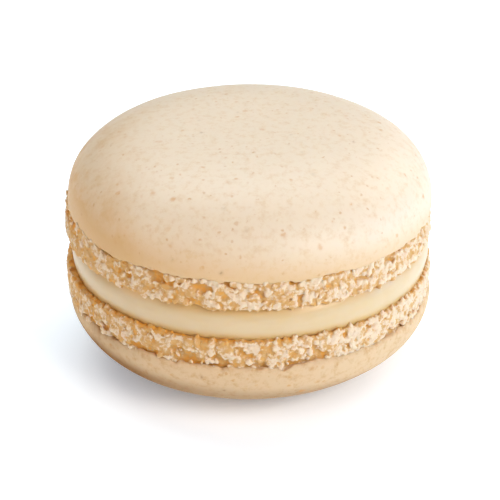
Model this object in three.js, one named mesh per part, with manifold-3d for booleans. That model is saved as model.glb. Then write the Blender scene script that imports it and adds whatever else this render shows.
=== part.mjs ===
// A French macaron: two almond meringue biscuits with a disc of vanilla cream between them.
// Each biscuit is one baked piece, a smooth domed crust standing on a ragged, crumbly foot with a
// flat base. The lower one lies upside down, on the flattened crown of its dome.
// Millimetres, +Z up. The origin is the centre of the spot that the macaron rests on.
import * as THREE from "three";
import { mergeVertices } from "three/addons/utils/BufferGeometryUtils.js";
import Module from "manifold-3d";

// Driving dimensions, in millimetres.
const FOOT_HEIGHT = 3.2; // from a biscuit's flat base to the lip of its crust
const CREAM_THICKNESS = 4.0;
const CREAM_RADIUS = 20.45; // at the middle of the cream's bulging side
const CREAM_BULGE = 0.35; // how far that side stands out from its top and bottom edges
const REST_FLATTENING = 0.3; // taken off the lower dome, where it sat down on its crown

// The two biscuits. dome is the crown's height over the lip, skirt how far over the lip the crust
// is widest. fullness and roundness shape the dome: height = (1 - r ^ fullness) ^ roundness.
const TOP_BISCUIT = {
  crustRadius: 21.0,
  lipRadius: 20.7,
  footRadius: 21.1,
  dome: 8.6,
  skirt: 0.55,
  fullness: 3.1,
  roundness: 0.4,
  flattening: 0,
  seed: 11,
};
const BOTTOM_BISCUIT = {
  crustRadius: 21.2,
  lipRadius: 20.8,
  footRadius: 21.2,
  dome: 9.3,
  skirt: 0.6,
  fullness: 2.9,
  roundness: 0.52,
  flattening: REST_FLATTENING,
  seed: 29,
};

const CRUST_SEGMENTS = 66;
const CRUST_RINGS = 8;
const LIP_WAVE = 0.14; // how far the torn edge of the crust rises and falls
// The side of the foot is a net of points. In every other row, every other point is the tip of a
// crag and stands out, and the points round it stand in. It is hollowest under the crust.
const FOOT_SEGMENTS = 160;
const FOOT_ROW_GAPS = 6;
const FOOT_OVERLAP = 0.4; // how far the foot runs up inside the crust
const BASE_DEPTH = 0.3; // depth of the crags' mean face behind the foot's radius, at the base
const LIP_DEPTH = 0.8; // and under the lip
const CRAG = 0.42; // how far the crags stand out and in, at most
const BARE_SHARE = 0.15; // of the tips, those that are missing and leave a hollow
// Rows of larger crumbs fused to the crags: height over the base, crumbs in the row, and radius.
const CRUMB_ROWS = [
  { height: 0.95, count: 18, size: 0.92 },
  { height: 2.1, count: 15, size: 0.8 },
];
const CRUMB_DRAFT = 0.3; // a crumb's points stand in by up to this share of its radius
const CREAM_SEGMENTS = 84;
const CREAM_ROWS = 6;
const OUT_OF_ROUND = 0.004; // share of the radius by which the outline misses a circle, at most
const TOP_SHIFT = -0.15; // the top biscuit sits this far off centre, along X

const CRUST_COLOUR = 0xecd5b6;
const CREAM_COLOUR = 0xeeddb4;

const wasm = await Module();
wasm.setup();

// Repeatable numbers from 0 to 1, so that every run makes the same macaron.
function seededRandom(seed) {
  let state = seed;
  return () => {
    state = (state + 0x6d2b79f5) | 0;
    let mixed = Math.imul(state ^ (state >>> 15), 1 | state);
    mixed = (mixed + Math.imul(mixed ^ (mixed >>> 7), 61 | mixed)) ^ mixed;
    return ((mixed ^ (mixed >>> 14)) >>> 0) / 2 ** 32;
  };
}

// A profile of [radius, height] points, from axis to axis, turned about Z into a closed mesh.
function turned(profile, segments) {
  const points = profile.map(([radius, height]) => new THREE.Vector2(radius, height));
  const lathe = new THREE.LatheGeometry(points, segments);
  lathe.deleteAttribute("normal");
  lathe.deleteAttribute("uv");
  return mergeVertices(lathe.rotateX(Math.PI / 2), 1e-4);
}

// Moves every point that is off the axis: move gets its angle, radius and height and gives back
// the new radius and height.
function reshaped(geometry, move) {
  const position = geometry.getAttribute("position");
  for (let i = 0; i < position.count; i += 1) {
    const [x, y, z] = [position.getX(i), position.getY(i), position.getZ(i)];
    const radius = Math.hypot(x, y);
    if (radius > 0.01) {
      const angle = Math.atan2(y, x);
      const [newRadius, newHeight] = move(angle, radius, z);
      position.setXYZ(i, newRadius * Math.cos(angle), newRadius * Math.sin(angle), newHeight);
    }
  }
  return geometry;
}

function solid(geometry) {
  const vertProperties = geometry.getAttribute("position").array;
  const triVerts = new Uint32Array(geometry.index.array);
  return new wasm.Manifold(new wasm.Mesh({ numProp: 3, vertProperties, triVerts }));
}

function meshOf(name, joined, colour) {
  const made = joined.getMesh();
  const geometry = new THREE.BufferGeometry()
    .setAttribute("position", new THREE.BufferAttribute(made.vertProperties, 3))
    .setIndex(new THREE.BufferAttribute(made.triVerts, 1));
  geometry.computeVertexNormals();
  const material = new THREE.MeshStandardMaterial({ color: colour, roughness: 0.6, metalness: 0 });
  const mesh = new THREE.Mesh(geometry, material);
  mesh.name = name;
  return mesh;
}

// Adds up a few waves round the edge, each with its own count of lobes, to between -1 and 1.
function waves(lobeCounts, random) {
  const terms = lobeCounts.map((lobes) => ({ lobes, phase: random() * 2 * Math.PI }));
  return (angle) =>
    terms.reduce((sum, { lobes, phase }) => sum + Math.sin(lobes * angle + phase), 0) / terms.length;
}

// An outline seen from above, as a factor on its radius.
function outline(random) {
  const wave = waves([2, 3, 5], random);
  return (angle) => 1 + OUT_OF_ROUND * wave(angle);
}

// The crust: a full, smooth dome with a rounded side that tucks in to a slightly wavy lip.
function crust(biscuit, roundOutline, random) {
  const { crustRadius, lipRadius, dome, skirt, fullness, roundness, flattening } = biscuit;
  const profile = [];
  for (let ring = 0; ring <= CRUST_RINGS; ring += 1) {
    const share = Math.sin((ring / CRUST_RINGS) * (Math.PI / 2));
    const height = skirt + (dome - skirt) * (1 - share ** fullness) ** roundness;
    profile.push([crustRadius * share, FOOT_HEIGHT + Math.min(height, dome - flattening)]);
  }
  profile.push([lipRadius, FOOT_HEIGHT], [0, FOOT_HEIGHT]);
  const wave = waves([7, 13, 19], random);
  return reshaped(turned(profile.reverse(), CRUST_SEGMENTS), (angle, radius, height) => [
    radius * roundOutline(angle),
    height < FOOT_HEIGHT + 0.01 ? height + LIP_WAVE * wave(angle) : height,
  ]);
}

// How far the crags' mean face lies behind the foot's radius at a height over the base.
function footDepth(height) {
  return BASE_DEPTH + (LIP_DEPTH - BASE_DEPTH) * (height / FOOT_HEIGHT) ** 2;
}

// The foot without its larger crumbs: a disc with a flat base, whose side is all crags.
function craggyFoot(biscuit, roundOutline, random) {
  const rowHeight = (FOOT_HEIGHT + FOOT_OVERLAP) / FOOT_ROW_GAPS;
  const columnAngle = (2 * Math.PI) / FOOT_SEGMENTS;
  const side = Array.from({ length: FOOT_ROW_GAPS + 1 }, (_, row) => {
    const height = row * rowHeight;
    return [biscuit.footRadius - footDepth(height), height];
  });
  const profile = [[0, 0], ...side, [0, FOOT_ROW_GAPS * rowHeight]];
  return reshaped(turned(profile, FOOT_SEGMENTS), (angle, radius, height) => {
    const row = Math.round(height / rowHeight);
    const column = Math.round(angle / columnAngle);
    const tip = row % 2 === 1 && (column + (row - 1) / 2) % 2 === 0 && random() > BARE_SHARE;
    const crag = CRAG * (tip ? 1 : -1) * (0.3 + 0.7 * random());
    const inside = row > 0 && row < FOOT_ROW_GAPS;
    const shift = inside ? 0.5 * rowHeight * (random() - 0.5) : 0;
    return [(radius + crag) * roundOutline(angle), height + shift];
  });
}

// One crumb: a 20-faced lump, pulled out of shape and turned at random.
function crumb(size, random) {
  const lump = new THREE.IcosahedronGeometry(size, 0);
  lump.deleteAttribute("normal");
  lump.deleteAttribute("uv");
  const shape = mergeVertices(lump, 1e-4);
  const position = shape.getAttribute("position");
  for (let i = 0; i < position.count; i += 1) {
    const pull = 1 - CRUMB_DRAFT * random();
    position.setXYZ(i, position.getX(i) * pull, position.getY(i) * pull, position.getZ(i) * pull);
  }
  const turn = new THREE.Euler(...[1, 1, 1].map(() => random() * 2 * Math.PI));
  return shape.applyMatrix4(new THREE.Matrix4().makeRotationFromEuler(turn));
}

// The larger crumbs, spread evenly along their rows and moved a little out of line, each with its
// middle on the crags' mean face.
function crumbs(biscuit, roundOutline, random) {
  return CRUMB_ROWS.flatMap(({ height, count, size }, row) =>
    Array.from({ length: count }, (_, place) => {
      const angle = ((place + row / 2 + 0.7 * (random() - 0.5)) / count) * 2 * Math.PI;
      const crumbRadius = size * (0.75 + 0.35 * random());
      const middle = Math.max(height + 0.4 * (random() - 0.5), crumbRadius + 0.03);
      const distance = (biscuit.footRadius - footDepth(middle)) * roundOutline(angle);
      return crumb(crumbRadius, random).translate(
        distance * Math.cos(angle),
        distance * Math.sin(angle),
        middle,
      );
    }),
  );
}

// A whole biscuit, right way up, with the middle of its flat base at the origin.
function biscuitMesh(name, biscuit) {
  const random = seededRandom(biscuit.seed);
  const roundOutline = outline(random);
  const body = solid(crust(biscuit, roundOutline, random));
  const foot = solid(craggyFoot(biscuit, roundOutline, random));
  const joined = crumbs(biscuit, roundOutline, random).reduce(
    (whole, lump) => whole.add(solid(lump)),
    body.add(foot),
  );
  return meshOf(name, joined, CRUST_COLOUR);
}

// The cream: a disc pressed out to a soft, slightly uneven bulge.
function creamMesh(name) {
  const random = seededRandom(5);
  const roundOutline = outline(random);
  const side = Array.from({ length: CREAM_ROWS }, (_, row) => {
    const share = row / (CREAM_ROWS - 1);
    const inset = CREAM_BULGE * (1 - Math.sqrt(Math.max(0, 1 - (2 * share - 1) ** 2)));
    return [CREAM_RADIUS - inset, CREAM_THICKNESS * share];
  });
  const profile = [[0, 0], ...side, [0, CREAM_THICKNESS]];
  const disc = reshaped(turned(profile, CREAM_SEGMENTS), (angle, radius, height) => [
    radius * roundOutline(angle),
    height,
  ]);
  return meshOf(name, solid(disc), CREAM_COLOUR);
}

const creamBottom = BOTTOM_BISCUIT.dome - REST_FLATTENING + FOOT_HEIGHT;
const creamTop = creamBottom + CREAM_THICKNESS;

const bottomBiscuit = biscuitMesh("bottom_biscuit", BOTTOM_BISCUIT);
bottomBiscuit.rotation.x = Math.PI;
bottomBiscuit.position.z = creamBottom;

const creamFilling = creamMesh("cream_filling");
creamFilling.position.z = creamBottom;

const topBiscuit = biscuitMesh("top_biscuit", TOP_BISCUIT);
topBiscuit.position.set(TOP_SHIFT, 0, creamTop);

const macaron = new THREE.Group();
macaron.add(bottomBiscuit, creamFilling, topBiscuit);

export default macaron;
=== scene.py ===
# A French macaron: two almond meringue biscuits with a disc of vanilla cream pressed between them.
# Each biscuit is a smooth crust on a ragged foot. The lower one lies upside down on its crown.
import math
import random

import bmesh
import bpy
import numpy as np
from mathutils import Euler, Matrix, Vector, noise


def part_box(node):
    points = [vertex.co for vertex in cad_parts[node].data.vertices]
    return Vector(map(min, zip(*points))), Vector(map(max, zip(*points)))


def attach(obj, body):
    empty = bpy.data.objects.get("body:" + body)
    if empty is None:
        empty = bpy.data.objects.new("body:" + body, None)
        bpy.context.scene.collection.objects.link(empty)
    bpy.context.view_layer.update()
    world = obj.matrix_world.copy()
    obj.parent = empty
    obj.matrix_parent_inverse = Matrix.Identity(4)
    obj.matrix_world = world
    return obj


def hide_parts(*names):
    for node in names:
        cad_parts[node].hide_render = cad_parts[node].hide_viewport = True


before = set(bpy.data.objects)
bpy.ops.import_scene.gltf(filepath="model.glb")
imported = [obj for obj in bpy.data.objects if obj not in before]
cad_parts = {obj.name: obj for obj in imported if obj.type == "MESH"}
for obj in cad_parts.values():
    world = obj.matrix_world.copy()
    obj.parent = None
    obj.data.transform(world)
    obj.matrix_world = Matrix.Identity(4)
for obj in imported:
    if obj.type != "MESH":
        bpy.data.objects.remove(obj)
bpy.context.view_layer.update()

# ---- The upper crust -------------------------------------------------------------------------
# The satin skin of almond meringue that dried on the biscuit before it rose in the oven: a full
# dome that tucks in to a thin, torn lip. Its profile is turned round the axis, and its skin is
# then eased a little out of true. Ground almond shows in it as fine golden specks.
MM = 0.001
HAIR = 0.01 * MM  # closer than this counts as touching
WELD_GAP = 0.001 * MM
FOOT_HEIGHT = 3.2 * MM
TURN_STEPS = 720
DOME_RINGS = 44
OUT_OF_ROUND = 0.004
ROUND_LOBES = (2, 3, 5)
SKIN_WAVE = 0.05 * MM
SKIN_WAVES_PER_MM = 0.16
CALM_CROWN = 3 * MM
SWELL = 0.2 * MM
LIP_RINGS = 6
LIP_THICKNESS = 0.35 * MM
LIP_WAVE = 0.16 * MM
LIP_LOBES = (7, 13, 19)
LIP_TEAR = 0.18 * MM
TEARS = ((0.9, 1.0), (2.1, 0.7), (4.3, 0.4))  # tears to a mm, and how much they count
LIP_CHIPS = 0.9 * MM
CHIPS_PER_MM = 0.8
CHIPS_START = 0.2
BASE_OF_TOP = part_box("top_biscuit")[0].z
TOP_SHAPE = {
    "crust_radius": 21.0 * MM,
    "lip_radius": 20.8 * MM,
    "foot_radius": 21.1 * MM,
    "crown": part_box("top_biscuit")[1].z - BASE_OF_TOP - FOOT_HEIGHT + SWELL,
    "skirt": 0.55 * MM,  # height of the edge that rolls under
    "fullness": 3.9,  # a higher one keeps the dome high nearer to its edge
    "roundness": 0.45,  # a lower one makes the shoulder squarer
    "flattening": 0.0,  # how much is pressed flat at the middle
}


def waves(lobes, seed):
    """A few waves round the edge, added up to between -1 and 1, as a function of the angle."""
    draw = random.Random(seed)
    terms = [(lobe, draw.uniform(0, 2 * math.pi)) for lobe in lobes]
    return lambda angle: sum(np.sin(lobe * angle + phase) for lobe, phase in terms) / len(terms)


def chain(form, points):
    """Joins [radius, height] points by edges, as a profile to turn."""
    verts = [form.verts.new((radius, 0, height)) for radius, height in points]
    return verts + [form.edges.new(pair) for pair in zip(verts, verts[1:])]


def turn(form, profile, steps):
    """Spins a profile round Z into a closed skin with its faces outwards."""
    bmesh.ops.spin(
        form, geom=profile, cent=(0, 0, 0), axis=(0, 0, 1), angle=2 * math.pi, steps=steps, use_merge=True
    )
    bmesh.ops.remove_doubles(form, verts=form.verts, dist=WELD_GAP)
    bmesh.ops.recalc_face_normals(form, faces=form.faces)


def finished(form, name):
    """Turns a bmesh into a smooth-shaded object at the origin."""
    mesh = bpy.data.meshes.new(name)
    form.to_mesh(mesh)
    form.free()
    mesh.shade_smooth()
    piece = bpy.data.objects.new(name, mesh)
    bpy.context.scene.collection.objects.link(piece)
    return piece


def crust_form(shape, seed):
    """A biscuit's crust, right way up over the middle of the biscuit's flat base."""
    form = bmesh.new()
    points = []
    for ring in range(DOME_RINGS + 1):
        share = math.sin(ring / DOME_RINGS * math.pi / 2)
        bend = (1 - share ** shape["fullness"]) ** shape["roundness"]
        height = shape["skirt"] + (shape["crown"] - shape["skirt"]) * bend
        height = min(height, shape["crown"] - shape["flattening"])
        points.append((shape["crust_radius"] * share, FOOT_HEIGHT + height))
    for ring in range(1, LIP_RINGS + 1):
        bend = ring / LIP_RINGS * math.pi / 2
        radius = shape["lip_radius"] + (shape["crust_radius"] - shape["lip_radius"]) * math.cos(bend)
        points.append((radius, FOOT_HEIGHT + shape["skirt"] * (1 - math.sin(bend))))
    points.append((shape["lip_radius"] - LIP_THICKNESS, FOOT_HEIGHT + 0.5 * LIP_THICKNESS))
    points.append((shape["lip_radius"] - 4 * LIP_THICKNESS, FOOT_HEIGHT + LIP_THICKNESS))
    points.append((0, FOOT_HEIGHT + LIP_THICKNESS))
    turn(form, chain(form, points), TURN_STEPS)

    round_wave = waves(ROUND_LOBES, seed)
    lip_wave = waves(LIP_LOBES, seed + 1)
    form.normal_update()
    for vert in form.verts:
        radius = math.hypot(vert.co.x, vert.co.y)
        if radius < HAIR:
            continue
        angle = math.atan2(vert.co.y, vert.co.x)
        low = 1 - min(1, max(0, (vert.co.z - FOOT_HEIGHT) / shape["skirt"]))
        place = vert.co / MM
        tear = sum(share * noise.noise(place * per_mm) for per_mm, share in TEARS)
        chip = max(0, noise.noise(Vector((place.x, place.y, seed)) * CHIPS_PER_MM) - CHIPS_START)
        swell = 0
        on_flat = vert.co.z > FOOT_HEIGHT + shape["crown"] - shape["flattening"] - HAIR
        if vert.co.z > FOOT_HEIGHT + shape["skirt"] and not on_flat:
            swell = SKIN_WAVE * noise.noise(place * SKIN_WAVES_PER_MM) * min(1, radius / CALM_CROWN)
        factor = 1 + OUT_OF_ROUND * round_wave(angle)
        vert.co.x *= factor
        vert.co.y *= factor
        vert.co += vert.normal * swell
        vert.co.z += low * (LIP_WAVE * lip_wave(angle) + LIP_TEAR * tear + LIP_CHIPS * chip)
    return form


form = crust_form(TOP_SHAPE, seed=11)
bmesh.ops.translate(form, verts=form.verts, vec=(0, 0, BASE_OF_TOP))
top_crust = finished(form, "top_crust")


def linear(red, green, blue):
    """A colour given as it looks on a screen, from 0 to 255, as a shader's linear colour."""
    def straight(value):
        value /= 255
        return value / 12.92 if value <= 0.04045 else ((value + 0.055) / 1.055) ** 2.4
    return (straight(red), straight(green), straight(blue), 1)


def add(tree, kind, inputs=None, **settings):
    """Adds a node. An input's value is either a plain value or the socket that feeds it."""
    made = tree.nodes.new("ShaderNode" + kind)
    for key, value in settings.items():
        setattr(made, key, value)
    for key, value in (inputs or {}).items():
        if isinstance(value, bpy.types.NodeSocket):
            tree.links.new(value, made.inputs[key])
        else:
            made.inputs[key].default_value = value
    return made


def blend(tree, share, first, second):
    """Mixes two colours by a share from 0 to 1 and gives the socket of the result."""
    made = tree.nodes.new("ShaderNodeMix")
    made.data_type = "RGBA"
    for socket, value in zip((made.inputs[0], made.inputs[6], made.inputs[7]), (share, first, second)):
        if isinstance(value, bpy.types.NodeSocket):
            tree.links.new(value, socket)
        else:
            socket.default_value = value
    return made.outputs[2]


def remap(tree, value, low, high, to_low=0.0, to_high=1.0):
    """Maps a value smoothly from one range to another and holds it at the ends."""
    made = add(
        tree,
        "MapRange",
        {"Value": value, "From Min": low, "From Max": high, "To Min": to_low, "To Max": to_high},
        interpolation_type="SMOOTHSTEP",
    )
    return made.outputs["Result"]


def new_material(name):
    """A material with its Principled BSDF and the object's place in millimetres."""
    material = bpy.data.materials.new(name)
    material.use_nodes = True
    tree = material.node_tree
    shader = tree.nodes["Principled BSDF"]
    place = add(tree, "TexCoord").outputs["Object"]
    scaled = add(tree, "VectorMath", {0: place, 3: 1 / MM}, operation="SCALE")
    return material, tree, shader, scaled.outputs[0]


SPECK_RAG = 0.5  # how far a speck's outline is pulled about, in mm
SPECK_STRENGTHS = (0.12, 1.0)  # the faintest speck and the strongest
SPECK_EDGES = {
    # where each mask starts and is full, from outside the speck's edge to inside it
    "Speck": (-0.03, 0.08),
    "Halo": (-0.14, 0.04),
}


def speck_group():
    """Specks scattered through the skin: masks of small, ragged spots and of the halos round
    them, uneven in size and strength."""
    tree = bpy.data.node_groups.new("Almond specks", "ShaderNodeTree")
    tree.interface.new_socket("Place", in_out="INPUT", socket_type="NodeSocketVector")
    tree.interface.new_socket("Per mm", in_out="INPUT", socket_type="NodeSocketFloat")
    tree.interface.new_socket("Size", in_out="INPUT", socket_type="NodeSocketFloat")
    for name in SPECK_EDGES:
        tree.interface.new_socket(name, in_out="OUTPUT", socket_type="NodeSocketFloat")
    inside = tree.nodes.new("NodeGroupInput")
    outside = tree.nodes.new("NodeGroupOutput")
    ragged = add(tree, "TexNoise", {"Vector": inside.outputs["Place"], "Scale": 2.2, "Detail": 2.0})
    shift = add(tree, "VectorMath", {0: ragged.outputs["Color"], 3: SPECK_RAG}, operation="SCALE")
    moved = add(tree, "VectorMath", {0: inside.outputs["Place"], 1: shift.outputs[0]}, operation="ADD")
    cells = add(
        tree,
        "TexVoronoi",
        {"Vector": moved.outputs[0], "Scale": inside.outputs["Per mm"]},
        voronoi_dimensions="3D",
    )
    chance = add(tree, "SeparateColor", {0: cells.outputs["Color"]})
    reach = add(tree, "Math", {0: chance.outputs[0], 1: chance.outputs[0]}, operation="MULTIPLY")
    size = add(tree, "Math", {0: reach.outputs[0], 1: inside.outputs["Size"]}, operation="MULTIPLY")
    gap = add(tree, "Math", {0: size.outputs[0], 1: cells.outputs["Distance"]}, operation="SUBTRACT")
    strength = remap(tree, chance.outputs[1], 0.1, 1.0, *SPECK_STRENGTHS)
    for name, (start, full) in SPECK_EDGES.items():
        mask = remap(tree, gap.outputs[0], start, full)
        share = add(tree, "Math", {0: mask, 1: strength}, operation="MULTIPLY")
        tree.links.new(share.outputs[0], outside.inputs[name])
    return tree


SPECKS = speck_group()


def specks(tree, place, per_mm, size):
    """The speck group with its own density and size: gives the sockets of its specks and halos."""
    made = tree.nodes.new("ShaderNodeGroup")
    made.node_tree = SPECKS
    tree.links.new(place, made.inputs["Place"])
    made.inputs["Per mm"].default_value = per_mm
    made.inputs["Size"].default_value = size
    return made.outputs["Speck"], made.outputs["Halo"]


SPECK_LAYERS = (
    # specks to a mm each way, size, strength and tint
    (0.5, 0.2, 0.64, linear(206, 150, 86)),
    (0.85, 0.23, 0.5, linear(204, 152, 90)),
    (1.3, 0.25, 0.5, linear(196, 144, 84)),
    (0.4, 0.08, 0.7, linear(152, 108, 66)),
)
HALO_SHARE = 0.3
NOISE_CORE = (0.3, 0.7)  # the range that holds nearly all of a noise's values
MOTTLE_CORE = (0.45, 0.75)
PATCH_CORE = (0.42, 0.62)
PATCH_SHARES = (0.35, 1.0)
CRUST_ROUGHNESS = (0.42, 0.55)
BROWNED_SHADE_FROM = -9.5 * MM  # these four are places along X: the left side is browned and carries painted shade
BROWNED_SHADE_TO = -21.0 * MM
BAND_DARKER_FROM = -1.0 * MM
BAND_DARKER_TO = -16.0 * MM
BAND_CLIMB = 0.07  # how much the band rises for a step to the left


def crust_material(name, skin, golden, browned_and_shaded, mottle, side_share, band_top, band_fade, band_shares, sheen):
    """Satin meringue skin, mottled, with golden almond specks. The left side is browned in patches, a
    browning that also stands as painted shade on the side away from the lamps. A band low down is
    darkened too, fully up to its top and then fading out: partly baked colour, partly painted shade
    by the lip and the table. It climbs and gets darker towards the left, so its two shares are for
    the pale side and the darker one."""
    material, tree, shader, place = new_material(name)
    axes = add(tree, "SeparateXYZ", {0: place}).outputs
    climbed = add(tree, "Math", {0: axes[0], 1: BAND_CLIMB, 2: axes[2]}, operation="MULTIPLY_ADD")
    band = remap(tree, climbed.outputs[0], (band_top + band_fade) / MM, band_top / MM)
    band_share = remap(tree, axes[0], BAND_DARKER_FROM / MM, BAND_DARKER_TO / MM, *band_shares)
    rim = add(tree, "Math", {0: band, 1: band_share}, operation="MULTIPLY").outputs[0]
    side = remap(tree, axes[0], BROWNED_SHADE_FROM / MM, BROWNED_SHADE_TO / MM, 0.0, side_share)
    patches = add(tree, "TexNoise", {"Vector": place, "Scale": 0.2, "Detail": 5.0, "Roughness": 0.62})
    patchy = remap(tree, patches.outputs[0], *PATCH_CORE, *PATCH_SHARES)
    # real browning mixed with painted shade, on the left side and in the band low down
    baked_and_shaded = add(tree, "Math", {0: side, 1: patchy, 2: rim}, operation="MULTIPLY_ADD", use_clamp=True)
    fine = add(tree, "TexNoise", {"Vector": place, "Scale": 1.1, "Detail": 6.0, "Roughness": 0.7})
    spots = remap(tree, fine.outputs[0], *MOTTLE_CORE, 0.0, mottle)
    colour = blend(tree, spots, skin, golden)
    colour = blend(tree, baked_and_shaded.outputs[0], colour, browned_and_shaded)
    for per_mm, size, strength, tint in SPECK_LAYERS:
        speck, halo = specks(tree, place, per_mm, size)
        for mask, most in ((halo, HALO_SHARE * strength), (speck, strength)):
            share = add(tree, "Math", {0: mask, 1: most}, operation="MULTIPLY").outputs[0]
            colour = blend(tree, share, colour, tint)
    tree.links.new(colour, shader.inputs["Base Color"])
    grain = add(tree, "TexNoise", {"Vector": place, "Scale": 2.6, "Detail": 6.0, "Roughness": 0.7})
    satin = remap(tree, grain.outputs[0], *NOISE_CORE, *CRUST_ROUGHNESS)
    tree.links.new(satin, shader.inputs["Roughness"])
    bump = add(tree, "Bump", {"Height": grain.outputs[0], "Strength": 0.35, "Distance": 0.06 * MM})
    tree.links.new(bump.outputs[0], shader.inputs["Normal"])
    shader.inputs["Specular IOR Level"].default_value = sheen
    shader.inputs["Subsurface Weight"].default_value = 0.25
    shader.inputs["Subsurface Radius"].default_value = (1.0 * MM, 0.6 * MM, 0.35 * MM)
    shader.inputs["Subsurface Scale"].default_value = 1.0
    return material


TOP_FINISH = crust_material(
    "Top crust",
    skin=linear(229, 210, 185),
    golden=linear(208, 166, 110),
    browned_and_shaded=linear(210, 168, 112),
    mottle=0.42,
    side_share=0.9,
    # the band by the lip is partly browning and partly painted shade under the rolled edge
    band_top=BASE_OF_TOP + FOOT_HEIGHT,
    band_fade=4.6 * MM,
    band_shares=(0.74, 0.85),
    sheen=0.48,
)
top_crust.data.materials.append(TOP_FINISH)
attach(top_crust, "root")
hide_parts("top_biscuit")

# ---- The upper foot --------------------------------------------------------------------------
# The ragged collar that the batter makes as it rises under its crust: broken foam of pale,
# angular crumbs with hollows between them, most of them just under the lip, painted with golden
# shade. A turned wall, set back in the hollows, is crowded with crumbs, fused with them into one
# skin, and pitted.
WALL_WIDTH = 1.2 * MM
WALL_STEPS = 360
WALL_RINGS = 14
WALL_DEPTH = 0.14 * MM
CAVE_DEPTH = 0.36 * MM
FOOT_OVERLAP = 0.5 * MM
FOOT_SPREAD = 0.4 * MM
CRUMB_ROWS = (
    # height over the base, crumbs in the row, radius, how far in they sit
    (0.04 * MM, 110, 0.42 * MM, 0.78 * MM),
    (0.22 * MM, 136, 0.58 * MM, 0.48 * MM),
    (0.75 * MM, 128, 0.66 * MM, 0.48 * MM),
    (1.35 * MM, 124, 0.68 * MM, 0.50 * MM),
    (1.95 * MM, 124, 0.64 * MM, 0.54 * MM),
    (2.55 * MM, 128, 0.54 * MM, 0.54 * MM),
    (3.10 * MM, 136, 0.42 * MM, 0.42 * MM),
    (3.50 * MM, 130, 0.38 * MM, 0.52 * MM),
)
ROW_CRUMB = {
    # the range that each is drawn from, for a crumb of a row
    "along": (-0.4, 0.4),  # share of the room between two
    "size": (0.7, 1.2),  # share of the row's radius
    "rise": (-0.2, 0.2),  # mm
    "flatness": (0.55, 1),
    "inward": (-0.15, 0.25),  # mm
}
SMALL_CRUMB = {
    # the same for a small crumb, which may lie at any height
    "height": (0.0, 3.2),  # mm
    "radius": (0.15, 0.36),  # mm
    "inward": (-0.15, 0.35),  # mm
    "flatness": (0.4, 0.9),
}
SMALL_CRUMBS = 1800
SMALL_KEPT_OUT = 0.88  # share of the small crumbs that stay out of the hollows
CRUMB_SEAT = 0.25  # least height of a crumb's middle, as a share of its radius
CRUMB_CUTS = 8
CUTS_AT = (0.5, 0.95)  # where a plane cuts a crumb, as a share of its radius
CUT_REACH = 1.1  # as far as a crumb's corner may stick out, as a share of its radius
CUT_FACING = 0.05  # keeps a plane from cutting a crumb's far side
CRUMB_WIDTHS = (0.65, 1)
LARGE_DETAIL = 3
SMALL_DETAIL = 2
FACE_DEPTH = 0.12  # mm at the base, and what is added to it under the lip
FACE_DEPTH_ADDED = 0.15
PRESSED = (0.68, 0.86)  # how firmly crumbs are pressed into line, in front and at the browned side
PRESSED_BETWEEN = (0.3, 0.9)
CAVES_PER_MM = (0.5, 0.5, 0.9)
CAVE_RING = 20  # mm from the axis, where the noise that places the hollows is read
CAVE_LEVELS = (0.5, -0.02)  # how high it must be for a hollow, at the base and under the lip
CAVE_BASE_RARER = 0.25  # added to these on the browned side
CAVE_LIP_SHIFT = 0.35  # taken off again towards the lip
CAVE_EDGE = 0.12
IN_CAVE = 0.5
VOXEL = 0.085 * MM
SHOWING_WITHIN = 2.2 * MM
PIT_DEPTH = 0.08 * MM
PITS_PER_MM = 1.25
PIT_SIZE = 0.25  # a pit's reach, and what is added to it for the widest
PIT_SIZE_ADDED = 0.3
PIT_DRAW = 7.3
ROUGHNESS = 0.13 * MM
ROUGH_WAVES = (1.5, 3.4)  # to a mm, coarse and fine
ROUGH_FINE_SHARE = 0.7
ROUGH_MEAN = 0.3
# These measure how hollow a place on the foot is, for the painted shade its colour gets there.
NEAR_ROUNDS = 22  # rounds of easing, and how deep a full hollow lies under the eased skin
NEAR_DEPTH = 0.16 * MM
WIDE_ROUNDS = 70
WIDE_DEPTH = 0.35 * MM
DEEP_FROM = 0.12  # mm behind the crumbs' mean face
DEEP_MOST = 1.2
SEAM_SHADE_HEIGHT = 0.35 * MM
HOLLOW_SHADE = {"all": 0.26, "near": 0.22, "wide": 0.35, "deep_shade": 0.8, "seam_shade": 0.3}
FOOT_TRIANGLES = 190000


def crumb_maker(draw):
    """A function that breaks a round lump into a crumb: it is cut back by a few random planes,
    squashed and turned. It gives the crumb's points and the faces between them."""
    lumps = {}
    for detail in (SMALL_DETAIL, LARGE_DETAIL):
        form = bmesh.new()
        bmesh.ops.create_icosphere(form, subdivisions=detail, radius=1)
        points = np.array([vert.co for vert in form.verts])
        faces = np.array([[vert.index for vert in face.verts] for face in form.faces])
        lumps[detail] = points, faces
        form.free()

    def crumb(middle, radius, flatness, detail):
        points, faces = lumps[detail]
        turned = Euler([draw.uniform(0, 2 * math.pi) for _ in range(3)]).to_matrix()
        stretch = Matrix.Diagonal((1, draw.uniform(*CRUMB_WIDTHS), flatness)) * radius
        facing = np.array([[draw.gauss(0, 1) for _ in range(3)] for _ in range(CRUMB_CUTS)])
        facing /= np.linalg.norm(facing, axis=1)[:, None]
        cuts = np.array([draw.uniform(*CUTS_AT) for _ in range(CRUMB_CUTS)])
        reach = np.minimum(CUT_REACH, (cuts / np.maximum(CUT_FACING, points @ facing.T)).min(axis=1))
        return middle + (points * reach[:, None]) @ np.array(turned @ stretch).T, faces

    return crumb


def foot_edge(shape, seed):
    """A function for the foot's radius at an angle: a little out of round, and spread to the left."""
    round_wave = waves(ROUND_LOBES, seed)

    def edge(angle):
        spread = FOOT_SPREAD * np.maximum(0, -np.cos(angle)) ** 2
        return shape["foot_radius"] * (1 + OUT_OF_ROUND * round_wave(angle)) + spread

    return edge


def foot_depth(height):
    """How far the crumbs' mean face lies behind the foot's radius at a height over the base."""
    return (FACE_DEPTH + FACE_DEPTH_ADDED * np.clip(height / FOOT_HEIGHT, 0, 1) ** 2) * MM


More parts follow.
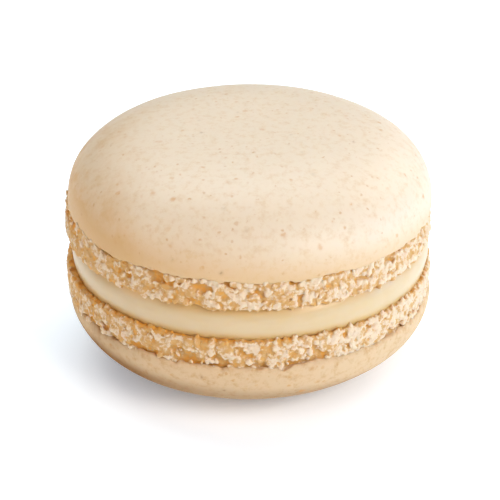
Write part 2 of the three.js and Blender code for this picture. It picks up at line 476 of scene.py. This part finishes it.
def cave_share(angle, height, seed):
    """How far a place on the foot is inside one of its hollows, from 0 to 1. They crowd together
    under the lip, and on the browned side they are rarer lower down."""
    place = Vector((CAVE_RING * math.cos(angle), CAVE_RING * math.sin(angle), height / MM))
    at_base, at_lip = CAVE_LEVELS
    share = min(1, height / FOOT_HEIGHT)
    browned_and_shaded = max(0, -math.cos(angle))
    level = at_base + (at_lip - at_base) * share + (CAVE_BASE_RARER - CAVE_LIP_SHIFT * share) * browned_and_shaded
    inside = noise.noise(place * Vector(CAVES_PER_MM) + Vector((seed, 0, 0))) - level
    return min(1, max(0, inside / CAVE_EDGE))


def foot_form(shape, seed):
    """The foot before its skin is fused: the wall, and the crowd of crumbs on it."""
    draw = random.Random(seed)
    crumb = crumb_maker(draw)
    edge = foot_edge(shape, seed)
    crowd = []

    def place_crumb(height, angle, radius, depth, flatness, detail):
        reach = edge(angle) - depth
        middle = (reach * math.cos(angle), reach * math.sin(angle), height)
        points, faces = crumb(np.array(middle), radius, flatness, detail)
        radii = np.hypot(points[:, 0], points[:, 1])
        angles = np.arctan2(points[:, 1], points[:, 0])
        face = edge(angles) - foot_depth(points[:, 2])
        firm = np.interp(-np.cos(angles), PRESSED_BETWEEN, PRESSED)
        pressed = np.where(radii > face, radii - firm * (radii - face), radii)
        points[:, :2] *= (pressed / radii)[:, None]
        crowd.append((points, faces))

    for height, count, size, depth in CRUMB_ROWS:
        for place in range(count):
            angle = 2 * math.pi * (place + draw.uniform(*ROW_CRUMB["along"])) / count
            radius = size * draw.uniform(*ROW_CRUMB["size"])
            level = max(height + draw.uniform(*ROW_CRUMB["rise"]) * MM, CRUMB_SEAT * radius)
            flatness = draw.uniform(*ROW_CRUMB["flatness"])
            inward = depth + draw.uniform(*ROW_CRUMB["inward"]) * MM
            if cave_share(angle, level, seed) < IN_CAVE:
                place_crumb(level, angle, radius, inward, flatness, LARGE_DETAIL)
    for _ in range(SMALL_CRUMBS):
        height = draw.uniform(*SMALL_CRUMB["height"]) * MM
        radius = draw.uniform(*SMALL_CRUMB["radius"]) * MM
        inward = foot_depth(height) + draw.uniform(*SMALL_CRUMB["inward"]) * MM
        angle = draw.uniform(0, 2 * math.pi)
        flatness = draw.uniform(*SMALL_CRUMB["flatness"])
        if draw.random() > SMALL_KEPT_OUT or cave_share(angle, height, seed) < IN_CAVE:
            place_crumb(height, angle, radius, inward, flatness, SMALL_DETAIL)

    starts = np.cumsum([0] + [len(points) for points, _ in crowd])
    points = np.concatenate([points for points, _ in crowd])
    faces = np.concatenate([faces + start for (_, faces), start in zip(crowd, starts)])
    crumbs = bpy.data.meshes.new("crumbs")
    crumbs.from_pydata(points.tolist(), [], faces.tolist())
    form = bmesh.new()
    outer = shape["foot_radius"]
    inner = outer - WALL_WIDTH
    top = FOOT_HEIGHT + FOOT_OVERLAP
    face = [(outer, top * ring / WALL_RINGS) for ring in range(WALL_RINGS + 1)]
    turn(form, chain(form, [(inner, 0), *face, (inner, top), (inner, 0)]), WALL_STEPS)
    for vert in form.verts:
        angle = math.atan2(vert.co.y, vert.co.x)
        reach = math.hypot(vert.co.x, vert.co.y)
        factor = edge(angle) / outer
        if reach > inner + 0.5 * WALL_WIDTH:
            depth = WALL_DEPTH + CAVE_DEPTH * cave_share(angle, vert.co.z, seed)
            factor -= (foot_depth(vert.co.z) + depth) / outer
        vert.co.x *= factor
        vert.co.y *= factor
    form.from_mesh(crumbs)
    bpy.data.meshes.remove(crumbs)
    return form


def applied(piece):
    """Makes the piece's modifiers part of its mesh."""
    graph = bpy.context.evaluated_depsgraph_get()
    done = bpy.data.meshes.new_from_object(piece.evaluated_get(graph))
    piece.modifiers.clear()
    old = piece.data
    piece.data = done
    bpy.data.meshes.remove(old)
    done.name = piece.name


def eased(points, ends, rounds):
    """Each point moved to the mean of itself and its neighbours, a number of times."""
    first, second = ends[:, 0], ends[:, 1]
    count = len(points)
    shares = 1.0 + np.bincount(first, minlength=count) + np.bincount(second, minlength=count)
    for _ in range(rounds):
        total = points.copy()
        for axis in range(3):
            total[:, axis] += np.bincount(first, points[second, axis], count)
            total[:, axis] += np.bincount(second, points[first, axis], count)
        points = total / shares[:, None]
    return points


def ragged_foot(name, shape, seed):
    """A whole foot: crumbs fused into one skin, pitted, and marked with how much painted shade it gets in its
    hollows, creases and by the cream.
    """
    foot = finished(foot_form(shape, seed), name)
    fuse = foot.modifiers.new("Fuse", "REMESH")
    fuse.mode = "VOXEL"
    fuse.voxel_size = VOXEL
    fuse.adaptivity = 0.0
    fuse.use_smooth_shade = True
    applied(foot)
    mesh = foot.data
    count = len(mesh.vertices)
    points = np.empty(count * 3)
    mesh.vertices.foreach_get("co", points)
    normals = np.empty(count * 3)
    mesh.vertices.foreach_get("normal", normals)
    points, normals = points.reshape(-1, 3), normals.reshape(-1, 3)
    ends = np.empty(len(mesh.edges) * 2, dtype=np.int32)
    mesh.edges.foreach_get("vertices", ends)
    ends = ends.reshape(-1, 2)

    showing = np.hypot(points[:, 0], points[:, 1]) > shape["foot_radius"] - SHOWING_WITHIN
    moves = np.zeros(count)
    for index in np.flatnonzero(showing):
        place = Vector(points[index]) / MM + Vector((seed, 0, 0))
        distances, middles = noise.voronoi(place * PITS_PER_MM)
        size = PIT_SIZE + PIT_SIZE_ADDED * noise.cell(middles[0] * PIT_DRAW)
        pit = max(0.0, 1 - (distances[0] / size) ** 2)
        coarse, fine = (abs(noise.noise(place * per_mm)) for per_mm in ROUGH_WAVES)
        rough = coarse + ROUGH_FINE_SHARE * fine - ROUGH_MEAN
        moves[index] = -PIT_DEPTH * math.sqrt(pit) + ROUGHNESS * rough
    points = points + normals * moves[:, None]

    # The hollow_shade mark is painted shade: creases, hollows, places deep behind the crumbs' face and the
    # seam by the cream get darker and more golden.
    soft = eased(points, ends, NEAR_ROUNDS)
    near = np.einsum("ij,ij->i", soft - points, normals) / NEAR_DEPTH
    wide = np.einsum("ij,ij->i", eased(points, ends, WIDE_ROUNDS) - points, normals) / WIDE_DEPTH
    edge = foot_edge(shape, seed)(np.arctan2(points[:, 1], points[:, 0]))
    depth = (edge - foot_depth(points[:, 2]) - np.hypot(points[:, 0], points[:, 1])) / MM
    deep_shade = np.clip(depth - DEEP_FROM, 0, DEEP_MOST)
    seam_shade = np.clip(1 - points[:, 2] / SEAM_SHADE_HEIGHT, 0, 1)
    hollow_shade = HOLLOW_SHADE["all"] + HOLLOW_SHADE["near"] * near + HOLLOW_SHADE["wide"] * wide
    hollow_shade = hollow_shade + HOLLOW_SHADE["deep_shade"] * deep_shade + HOLLOW_SHADE["seam_shade"] * seam_shade
    points = points + (soft - points) * np.clip(near, 0, 1)[:, None]
    mesh.vertices.foreach_set("co", points.ravel())
    mark = mesh.attributes.new("hollow_shade", "FLOAT", "POINT")
    mark.data.foreach_set("value", np.clip(hollow_shade, 0, 1).astype(np.float32))
    mesh.update()
    mesh.calc_loop_triangles()
    thin = foot.modifiers.new("Thin", "DECIMATE")
    thin.ratio = min(1, FOOT_TRIANGLES / len(mesh.loop_triangles))
    applied(foot)
    foot.data.shade_smooth()
    return foot


top_foot = ragged_foot("top_foot", TOP_SHAPE, seed=5)
top_foot.data.transform(Matrix.Translation((0, 0, BASE_OF_TOP)))


CLOUDY = (-0.26, 0.26)
FLAKY = (-0.24, 0.24)
SIDE_TO_SIDE = (21.0, -21.0)  # mm, from the right to the left, the side in shade
# painted shade: the foot looks more golden towards the left, the side away from the lamps
SIDE_SHADE_TINTS = (-0.14, 0.12)
# painted shade: how far the hollow shade mark turns the foot golden and then deep golden
GOLDEN_BETWEEN = (0.0, 0.46)
DEEP_BETWEEN = (0.5, 1.0)
FOOT_CHALK = (0.55, 0.75)


def foot_material(name, pale, golden, deep_shade):
    """Broken meringue foam: chalky crumbs, with painted shade, golden where they are hollow and deep
    golden at the bottom of the hollows. Clouds and flakes shift that shade at random, and the left side,
    away from the lamps, gets more of it."""
    material, tree, shader, place = new_material(name)
    hollow_shade = add(tree, "Attribute", attribute_name="hollow_shade").outputs["Fac"]
    clouds = add(tree, "TexNoise", {"Vector": place, "Scale": 1.3, "Detail": 5.0, "Roughness": 0.7})
    pushed = add(tree, "VectorMath", {0: clouds.outputs["Color"], 1: place}, operation="ADD").outputs[0]
    flakes = add(tree, "TexVoronoi", {"Vector": pushed, "Scale": 0.95}).outputs["Color"]
    chance = add(tree, "SeparateColor", {0: flakes}).outputs[0]
    left_to_right = add(tree, "SeparateXYZ", {0: place}).outputs[0]
    cloudy = remap(tree, clouds.outputs[0], *NOISE_CORE, *CLOUDY)
    flaky = remap(tree, chance, 0.0, 1.0, *FLAKY)
    side = remap(tree, left_to_right, *SIDE_TO_SIDE, *SIDE_SHADE_TINTS)
    total = hollow_shade
    for shift in (cloudy, flaky, side):
        total = add(tree, "Math", {0: total, 1: shift}, operation="ADD").outputs[0]
    colour = blend(tree, remap(tree, total, *GOLDEN_BETWEEN), pale, golden)
    colour = blend(tree, remap(tree, total, *DEEP_BETWEEN), colour, deep_shade)
    tree.links.new(colour, shader.inputs["Base Color"])
    grain = add(tree, "TexNoise", {"Vector": place, "Scale": 5.0, "Detail": 5.0, "Roughness": 0.7})
    bump = add(tree, "Bump", {"Height": grain.outputs[0], "Strength": 0.8, "Distance": 0.08 * MM})
    tree.links.new(bump.outputs[0], shader.inputs["Normal"])
    chalk = remap(tree, grain.outputs[0], *NOISE_CORE, *FOOT_CHALK)
    tree.links.new(chalk, shader.inputs["Roughness"])
    shader.inputs["Specular IOR Level"].default_value = 0.3
    shader.inputs["Subsurface Weight"].default_value = 0.5
    shader.inputs["Subsurface Radius"].default_value = (0.5 * MM, 0.36 * MM, 0.22 * MM)
    shader.inputs["Subsurface Scale"].default_value = 1.0
    return material


FOOT_FINISH = foot_material(
    "Foot", pale=linear(225, 202, 174), golden=linear(206, 161, 100), deep_shade=linear(222, 160, 72)
)
top_foot.data.materials.append(FOOT_FINISH)
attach(top_foot, "root")
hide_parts("top_biscuit")

# ---- The cream -------------------------------------------------------------------------------
# Soft vanilla cream, piped on the lower biscuit and pressed out by the upper one until it bulges
# between them. A turned disc, with the faint waves that pressing leaves, and painted shade, golden,
# along its top and bottom edges where the biscuits overhang it.
CREAM_RADIUS = 20.8 * MM
CREAM_TOP_BULGE = 0.72 * MM
CREAM_BOTTOM_BULGE = 0.28 * MM
CREAM_ROUNDNESS = 1.9
CREAM_RINGS = 26
CREAM_WAVE = 0.06 * MM
CREAM_RIPPLE_SHARE = 0.4
CREAM_STILL = 10 * MM  # nearer to the axis than this it has no waves
CREAM_PALE = linear(212, 188, 149)
CREAM_YELLOW = linear(210, 182, 135)
# painted shade: the golden colour along the cream's top and bottom edges
CREAM_EDGE_SHADE = linear(212, 170, 104)
YELLOW_CORE = (0.35, 0.7)
YELLOW_MOST = 0.4
EDGE_SHADE_FROM = 0.16  # shares of the thickness, from mid-height
EDGE_SHADE_TO = 0.47
EDGE_SHADE_MOST = 0.9
CREAM_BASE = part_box("cream_filling")[0].z
CREAM_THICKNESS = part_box("cream_filling")[1].z - CREAM_BASE


def pressed_wave(place, across, up, shift):
    """A wave in the cream's side, with so many to a mm across and up."""
    return noise.noise(Vector((place.x * across, place.y * across, place.z * up)) + Vector((shift, 0, 0)))


form = bmesh.new()
side = []
for ring in range(CREAM_RINGS + 1):
    share = 2 * ring / CREAM_RINGS - 1
    bulge = CREAM_TOP_BULGE if share > 0 else CREAM_BOTTOM_BULGE
    inset = bulge * abs(share) ** CREAM_ROUNDNESS
    side.append((CREAM_RADIUS - inset, CREAM_BASE + CREAM_THICKNESS * (share + 1) / 2))
turn(form, chain(form, [(0, side[0][1]), *side, (0, side[-1][1])]), TURN_STEPS)
for vert in form.verts:
    radius = math.hypot(vert.co.x, vert.co.y)
    if radius > CREAM_STILL:
        place = vert.co / MM
        wave = pressed_wave(place, across=0.12, up=0.5, shift=0)
        ripple = pressed_wave(place, across=0.35, up=1.6, shift=9)
        factor = 1 + CREAM_WAVE * (wave + CREAM_RIPPLE_SHARE * ripple) / radius
        vert.co.x *= factor
        vert.co.y *= factor
cream = finished(form, "cream")

material, tree, shader, place = new_material("Cream")
patches = add(tree, "TexNoise", {"Vector": place, "Scale": 0.5, "Detail": 3.0})
yellower = remap(tree, patches.outputs[0], *YELLOW_CORE, 0.0, YELLOW_MOST)
colour = blend(tree, yellower, CREAM_PALE, CREAM_YELLOW)
height = add(tree, "SeparateXYZ", {0: place}).outputs[2]
middle = (CREAM_BASE + CREAM_THICKNESS / 2) / MM
above = add(tree, "Math", {0: height, 1: middle}, operation="SUBTRACT").outputs[0]
away = add(tree, "Math", {0: above}, operation="ABSOLUTE").outputs[0]
# painted shade: the cream turns golden towards its top and bottom edges, where the feet shade it
edge_shade_range = (EDGE_SHADE_FROM * CREAM_THICKNESS / MM, EDGE_SHADE_TO * CREAM_THICKNESS / MM)
edge = remap(tree, away, *edge_shade_range, 0.0, EDGE_SHADE_MOST)
colour = blend(tree, edge, colour, CREAM_EDGE_SHADE)
tree.links.new(colour, shader.inputs["Base Color"])
squeezed = add(tree, "Mapping", {"Vector": place, "Scale": (0.7, 0.7, 1.2)}).outputs[0]
smears = add(tree, "TexNoise", {"Vector": squeezed, "Scale": 0.6, "Detail": 1.0, "Roughness": 0.5})
bump = add(tree, "Bump", {"Height": smears.outputs[0], "Strength": 0.3, "Distance": 0.12 * MM})
tree.links.new(bump.outputs[0], shader.inputs["Normal"])
shader.inputs["Roughness"].default_value = 0.3
shader.inputs["Specular IOR Level"].default_value = 0.6
shader.inputs["Subsurface Weight"].default_value = 0.5
shader.inputs["Subsurface Radius"].default_value = (1.6 * MM, 1.1 * MM, 0.5 * MM)
shader.inputs["Subsurface Scale"].default_value = 1.0
cream.data.materials.append(material)
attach(cream, "root")
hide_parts("cream_filling")

# ---- The lower biscuit -----------------------------------------------------------------------
# The same kind of biscuit turned upside down: its foot meets the cream, and its crust, browned a
# little more and darkened with painted shade low down by the table, settled on a small flat spot.
# Both are made upright, then turned over.
BOTTOM_SHAPE = {
    "crust_radius": 21.2 * MM,
    "lip_radius": 20.8 * MM,
    "foot_radius": 21.2 * MM,
    "crown": 9.3 * MM,
    "skirt": 0.6 * MM,
    "fullness": 2.9,
    "roundness": 0.52,
    "flattening": 0.3 * MM,
}
UPSIDE_DOWN = Matrix.Translation((0, 0, CREAM_BASE)) @ Matrix.Rotation(math.pi, 4, "X")

bottom_foot = ragged_foot("bottom_foot", BOTTOM_SHAPE, seed=29)
bottom_foot.data.materials.append(FOOT_FINISH)
bottom_crust = finished(crust_form(BOTTOM_SHAPE, seed=29), "bottom_crust")
BOTTOM_FINISH = crust_material(
    "Bottom crust",
    skin=linear(214, 185, 149),
    golden=linear(186, 138, 82),
    # painted shade: this dark band stands mostly for the shade on the underside by the table, with some
    # browning
    browned_and_shaded=linear(141, 104, 70),
    mottle=0.6,
    side_share=0.5,
    band_top=4.1 * MM,
    band_fade=2.6 * MM,
    band_shares=(0.44, 1.0),
    sheen=0.0,
)
bottom_crust.data.materials.append(BOTTOM_FINISH)
for piece in (bottom_foot, bottom_crust):
    piece.data.transform(UPSIDE_DOWN)
    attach(piece, "root")
    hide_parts("bottom_biscuit")

# ---- The stage: floor, light and camera ------------------------------------------------------
# A white table that glows a little, a painted light: the glow fades out under the macaron, painting
# its contact shadow, and a warmer colour near it paints the light bounced off the biscuit. Soft lamps
# stand all round, the strongest of them on the right, and the room adds a faint grey light.
TABLE_SIZE = 1.5
# painted light: the warm colour near the macaron and the glow that fades out under it
TABLE_NEAR_BOUNCE = (0.9, 0.83, 0.75, 1)
TABLE_FAR = (0.9, 0.9, 0.9, 1)
SHADOW_NO_GLOW = (0, 0, 0, 1)
TABLE_GLOW = (0.66, 0.82, 0.97, 1)
GLOW_FROM = 7.5 * MM
GLOW_TO = 20.0 * MM
BOUNCE_TO = 34 * MM
form = bmesh.new()
bmesh.ops.create_grid(form, x_segments=1, y_segments=1, size=TABLE_SIZE)
floor = finished(form, "floor")
material, tree, shader, place = new_material("Floor")
shader.inputs["Roughness"].default_value = 0.9
shader.inputs["Specular IOR Level"].default_value = 0.1
away = add(tree, "VectorMath", {0: place}, operation="LENGTH").outputs["Value"]
# painted bounce light near the macaron, and a painted contact shadow where the glow fades out
bounce_share = remap(tree, away, GLOW_FROM / MM, BOUNCE_TO / MM)
glowing = remap(tree, away, GLOW_FROM / MM, GLOW_TO / MM)
tree.links.new(blend(tree, bounce_share, TABLE_NEAR_BOUNCE, TABLE_FAR), shader.inputs["Base Color"])
tree.links.new(blend(tree, glowing, SHADOW_NO_GLOW, TABLE_GLOW), shader.inputs["Emission Color"])
shader.inputs["Emission Strength"].default_value = 0.45
floor.data.materials.append(material)

bpy.context.scene.world = bpy.data.worlds.new("Room")

LIGHTS = {
    # name: azimuth from the camera towards +X, elevation, power in watts and colour
    "front": (0, 55, 0.5, (1, 0.83, 0.85)),
    "window": (45, 30, 2.5, (1, 0.99, 0.95)),
    "window_low": (90, 10, 1.4, (0.3, 0.6, 1)),
    "back_right": (135, 30, 1.2, (1, 0.88, 0.82)),
    "back": (180, 55, 1.24, (0.75, 0.9, 1)),
    "back_left": (225, 55, 1.14, (0.85, 0.95, 1)),
    "left": (288, 14, 1.0, (1, 0.82, 0.62)),
}
LIGHT_SIZE = 0.3
LIGHT_DISTANCE = 0.6
MIDDLE = Vector((0, 0, 14 * MM))


def around(azimuth, elevation, distance):
    """A place round the macaron. Azimuth 0 is the camera's side, and 90 is the right."""
    turned = math.radians(azimuth)
    lifted = math.radians(elevation)
    level = distance * math.cos(lifted)
    return MIDDLE + Vector((level * math.sin(turned), -level * math.cos(turned), distance * math.sin(lifted)))


for name, (azimuth, elevation, power, colour) in LIGHTS.items():
    lamp = bpy.data.lights.new(name, "AREA")
    lamp.energy = power
    lamp.color = colour
    lamp.size = LIGHT_SIZE
    placed = bpy.data.objects.new(name, lamp)
    placed.location = around(azimuth, elevation, LIGHT_DISTANCE)
    placed.rotation_euler = (MIDDLE - placed.location).to_track_quat("-Z", "Y").to_euler()
    bpy.context.scene.collection.objects.link(placed)

CAMERA_ELEVATION = 27.6
CAMERA_DISTANCE = 231 * MM
AIM = Vector((0, 0, 12.45 * MM))
lens = bpy.data.cameras.new("Camera")
lens.lens = 141.9
lens.sensor_width = 36
lens.clip_start = 0.01
camera = bpy.data.objects.new("Camera", lens)
camera.location = around(0, CAMERA_ELEVATION, CAMERA_DISTANCE)
camera.rotation_euler = (AIM - camera.location).to_track_quat("-Z", "Y").to_euler()
bpy.context.scene.collection.objects.link(camera)
bpy.context.scene.camera = camera
bpy.context.scene.view_settings.view_transform = "Standard"
